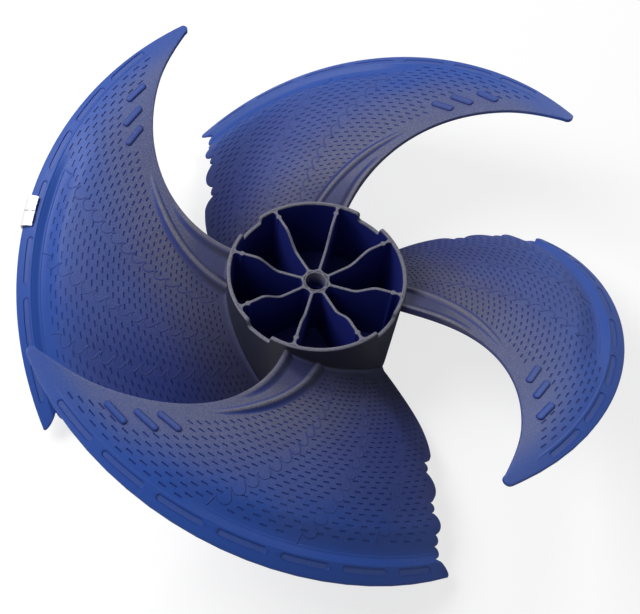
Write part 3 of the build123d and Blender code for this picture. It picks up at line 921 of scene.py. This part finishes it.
def bead(radius, angle):
    """A thin bead along a line on the blade's face: half an oval carried along the line, its
    foot drawn in and sunk in the face, closed at both ends."""
    ground = turned(radius, angle, ground_height(radius, angle))
    along = np.gradient(ground[:, :2], axis=0)
    along /= np.linalg.norm(along, axis=1)[:, None]
    side = np.stack([-along[:, 1], along[:, 0]], -1)
    turn = np.radians(np.linspace(180, 0, 7))
    across = BEAD_HALF * np.concatenate([np.cos(turn), [BEAD_FOOT, -BEAD_FOOT]])
    up = np.concatenate([BEAD_HIGH * np.sin(turn), [-BEAD_SINK, -BEAD_SINK]])
    plan = ground[:, None, :2] + side[:, None, :] * across[None, :, None]
    plan_radius = np.hypot(plan[..., 0], plan[..., 1])
    plan_angle = np.degrees(np.arctan2(plan[..., 1], plan[..., 0])) % 360
    level = ground_height(plan_radius, plan_angle)
    return np.concatenate([plan, (level + up)[..., None]], -1)


# one scallop, as steps in degrees and mm outwards from its inner corner; the run in from the
# rim, as mm outwards from the first corner and degrees a mm; how far it all keeps off the teeth
SCALLOP = np.array([
    (0.0, 0.0), (0.1, 1.6), (0.5, 2.9), (1.2, 3.6), (2.0, 2.9), (2.55, 1.0), (2.7, -1.6),
    (2.55, -4.2), (2.2, -6.4), (1.9, -8.2), (1.85, -9.6),
])
LEAD_IN_FROM, LEAD_IN_TO, LEAD_IN_LEAN, FEATHER_END = 10.0, 1.5, 0.1, 2.5


def feather_line(which):
    """The line of one feather step: scallops one after another, each a set of steps in angle
    and radius from its inner corner, after a short run in from the rim."""
    start, turn, count = FEATHERS[which][:3]
    n = np.repeat(np.arange(count), len(SCALLOP))
    swing, out = np.tile(SCALLOP, (count, 1)).T
    lead_in = np.linspace(LEAD_IN_FROM, LEAD_IN_TO, 6)
    radius = start + np.concatenate([lead_in, out - SCALLOP_LENGTH * n])
    angle = turn + np.concatenate([
        -LEAD_IN_LEAN * lead_in, swing + SCALLOP_LEAN * SCALLOP_LENGTH * n,
    ])
    keep = angle < trail_edge(radius) - FEATHER_END
    return radius[keep], angle[keep]


# raised bars near the tip: middle radius and the angles of their two ends; then a bar's rings
# from foot to crown: distance drawn in from its outline, height, mark (painted shade at the foot
# and on the flank, dust and a painted highlight on the crown)
BARS = ((236.8, 133.7, 139.3), (223.2, 138.1, 144.2), (210.6, 141.4, 147.6))
BAR_HALF, BAR_HIGH = 3.1, 1.6
BAR_RINGS = np.array([
    (-0.25, -0.6, 1.0), (0.0, 0.0, 1.0), (0.1, 0.85, 1.0), (0.45, 1.35, 0.9), (1.0, 1.6, 0.6),
    (1.9, 1.68, 0.05), (3.0, 1.7, -0.15),
])


def bar_skin(middle, start, stop):
    """One raised bar: rings from its foot to its crown, each a slot outline drawn further in,
    with a round shoulder between flank and top."""
    cap = np.degrees(BAR_HALF / middle)
    turn = np.linspace(0, 2 * np.pi, 49)[:-1]
    drawn_in, up, mark = BAR_RINGS.T[:, :, None]
    half = BAR_HALF - drawn_in
    mid = (start + stop) / 2
    swing = np.where(np.cos(turn) > 0, stop - cap - mid, start + cap - mid)
    radius = middle + half * np.sin(turn)
    angle = mid + swing + np.degrees(half * np.cos(turn) / middle)
    level = sheet_height(radius, angle) + up * BAR_HIGH / up[-1]
    return turned(radius, angle, level), np.broadcast_to(mark, radius.shape)


# the ribs run out from inside the hub's wall; the leading one is the shorter
RIB_FROM, RIB_TO, LEAD_RIB_END, LEAD_FADE, INNER_FADE = 80.5, 187.0, 158.0, 45.0, 48.0
rib_radii = np.linspace(RIB_FROM, RIB_TO, 72)
lead_radii = rib_radii[rib_radii < LEAD_RIB_END - 1]
lead_fade = smooth((LEAD_RIB_END - lead_radii) / LEAD_FADE)
inner_fade = smooth((RIB_END - rib_radii) / INNER_FADE)
ribs = (
    rib_skin(LEAD_RIB, lead_radii, lead_edge(lead_radii), lead_fade, narrow=0.3),
    rib_skin(INNER_RIB, rib_radii, crest_angle(rib_radii), inner_fade, narrow=0.45),
)
blade_points, blade_faces, blade_mark = blade_skin()
for number in range(BLADE_COUNT):
    spin = np.array(Matrix.Rotation(-2 * np.pi * number / BLADE_COUNT, 3, "Z"))
    skin = Skin()
    skin.add(blade_points @ spin.T, blade_faces, blade_mark)
    for which, feather in enumerate(FEATHERS):
        points = bead(*feather_line(which))
        # each bead carries the painted shadow of its step
        skin.tube(points @ spin.T, np.full(points.shape[:2], feather[3]))
    # the bars' marks paint shade round the foot and on the flanks
    for bar in BARS:
        points, shade_marks = bar_skin(*bar)
        skin.tube(points @ spin.T, shade_marks, flip=True)
    for points, shade_marks in ribs:
        skin.tube(points @ spin.T, shade_marks)
    blade = skin.object(f"blade_{number + 1}", plastic)
    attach(blade, "root")
    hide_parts("impeller")

# ---------------------------------------------------------------- balance clips
# Two small spring clips of bright sheet metal, bent into a U and pushed over one blade's rim
# to balance the wheel.


def clip_metal():
    """Bright zinc-coated sheet with faint rolling streaks."""
    look = Finish("clip_metal", Metallic=0.25)
    streak, cloud = look.noise(500.0, 2.0), look.noise(60.0, 3.0)
    dull_zinc, clear_zinc = (0.62, 0.63, 0.65, 1), (0.74, 0.74, 0.75, 1)
    look.feed("Base Color", look.mix(cloud, dull_zinc, clear_zinc))
    look.feed("Roughness", 0.28 + 0.2 * streak)
    look.bump(streak, 0.15, 0.0002)
    return look.material


metal = clip_metal()
for number in (1, 2):
    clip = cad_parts[f"balance_clip_{number}"]
    clip.data.materials.clear()
    clip.data.materials.append(metal)

# ---------------------------------------------------------------- floor, light and camera
# A plain pale floor just below the hub's base, three soft lamps, and the camera. To the camera
# the floor glows a little, so that it shows close to white and still keeps the shadow.
FLOOR_HALF, FLOOR_LEVEL = 30.0, -0.0005


def pale_floor():
    """A square of plain pale floor, one face."""
    mesh = bpy.data.meshes.new("floor")
    signs = ((-1, -1), (1, -1), (1, 1), (-1, 1))
    corners = [(i * FLOOR_HALF, j * FLOOR_HALF, FLOOR_LEVEL) for i, j in signs]
    mesh.from_pydata(corners, [], [(0, 1, 2, 3)])
    floor = bpy.data.objects.new("floor", mesh)
    bpy.context.scene.collection.objects.link(floor)
    look = Finish("pale_floor", Roughness=0.9, Specular_IOR_Level=0.0, Emission_Strength=1.0)
    seen = look.ray("Camera")
    lit_colour, seen_colour = (0.80, 0.80, 0.82, 1), (0.32, 0.32, 0.32, 1)
    look.feed("Base Color", look.mix(seen, lit_colour, seen_colour))
    look.feed("Emission Color", look.mix(seen, (0, 0, 0, 1), (0.74, 0.74, 0.74, 1)))
    mesh.materials.append(look.material)
    return floor


pale_floor()

# world: white where the camera or a reflection sees it, and dim as a light
WORLD_LIGHT = 0.11
world = bpy.data.worlds.new("studio")
bpy.context.scene.world = world
world.use_nodes = True
sky = Graph(world.node_tree, "Background")
sky.shader.inputs["Color"].default_value = (1, 1, 1, 1)
seen = (sky.ray("Camera") + sky.ray("Glossy") + sky.ray("Transmission")).clamp()
sky.feed("Strength", seen * (1 - WORLD_LIGHT) + WORLD_LIGHT)


def lamp(name, place, target, size, power):
    """A square soft lamp at a place, facing a target, in metres and watts."""
    light = bpy.data.lights.new(name, "AREA")
    light.shape, light.size, light.energy = "SQUARE", size, power
    made = bpy.data.objects.new(name, light)
    back = np.array(place, float) - np.array(target, float)
    back /= np.linalg.norm(back)
    right = np.cross([0, 0, 1], back)
    right /= np.linalg.norm(right)
    turn = np.stack([right, np.cross(back, right), back], 1)
    made.matrix_world = Matrix.Translation(place) @ Matrix(turn.tolist()).to_4x4()
    bpy.context.scene.collection.objects.link(made)


lamp("key", (-0.95, 0.15, 1.25), (-0.05, 0.0, 0.1), 0.8, 19.0)
lamp("back", (0.6, 1.3, 1.3), (0, 0, 0.1), 0.4, 9.0)
lamp("front", (-0.7, -1.6, 1.5), (0, 0, 0.1), 1.2, 3.5)

camera_data = bpy.data.cameras.new("camera")
camera = bpy.data.objects.new("camera", camera_data)
bpy.context.scene.collection.objects.link(camera)
right = np.array([0.99929, 0.00384, 0.03752])
down = np.array([0.02367, -0.83841, -0.54453])
forward = np.array([0.02937, 0.54503, -0.83790])
turn = Matrix(np.stack([right, -down, -forward], 1).tolist()).to_4x4()
camera.matrix_world = Matrix.Translation((-0.07089, -0.53054, 0.89120)) @ turn
WIDE, HIGH, FOCAL, CENTRE_X, CENTRE_Y, SENSOR = 640, 614, 1041.23, 268.90, 293.22, 36.0
camera_data.sensor_width = SENSOR
camera_data.lens = SENSOR * FOCAL / WIDE
camera_data.shift_x = (WIDE / 2 - CENTRE_X) / WIDE
camera_data.shift_y = (CENTRE_Y - HIGH / 2) / WIDE
camera_data.clip_start, camera_data.clip_end = 0.01, 50.0
bpy.context.scene.camera = camera
bpy.context.scene.view_settings.view_transform = "Standard"
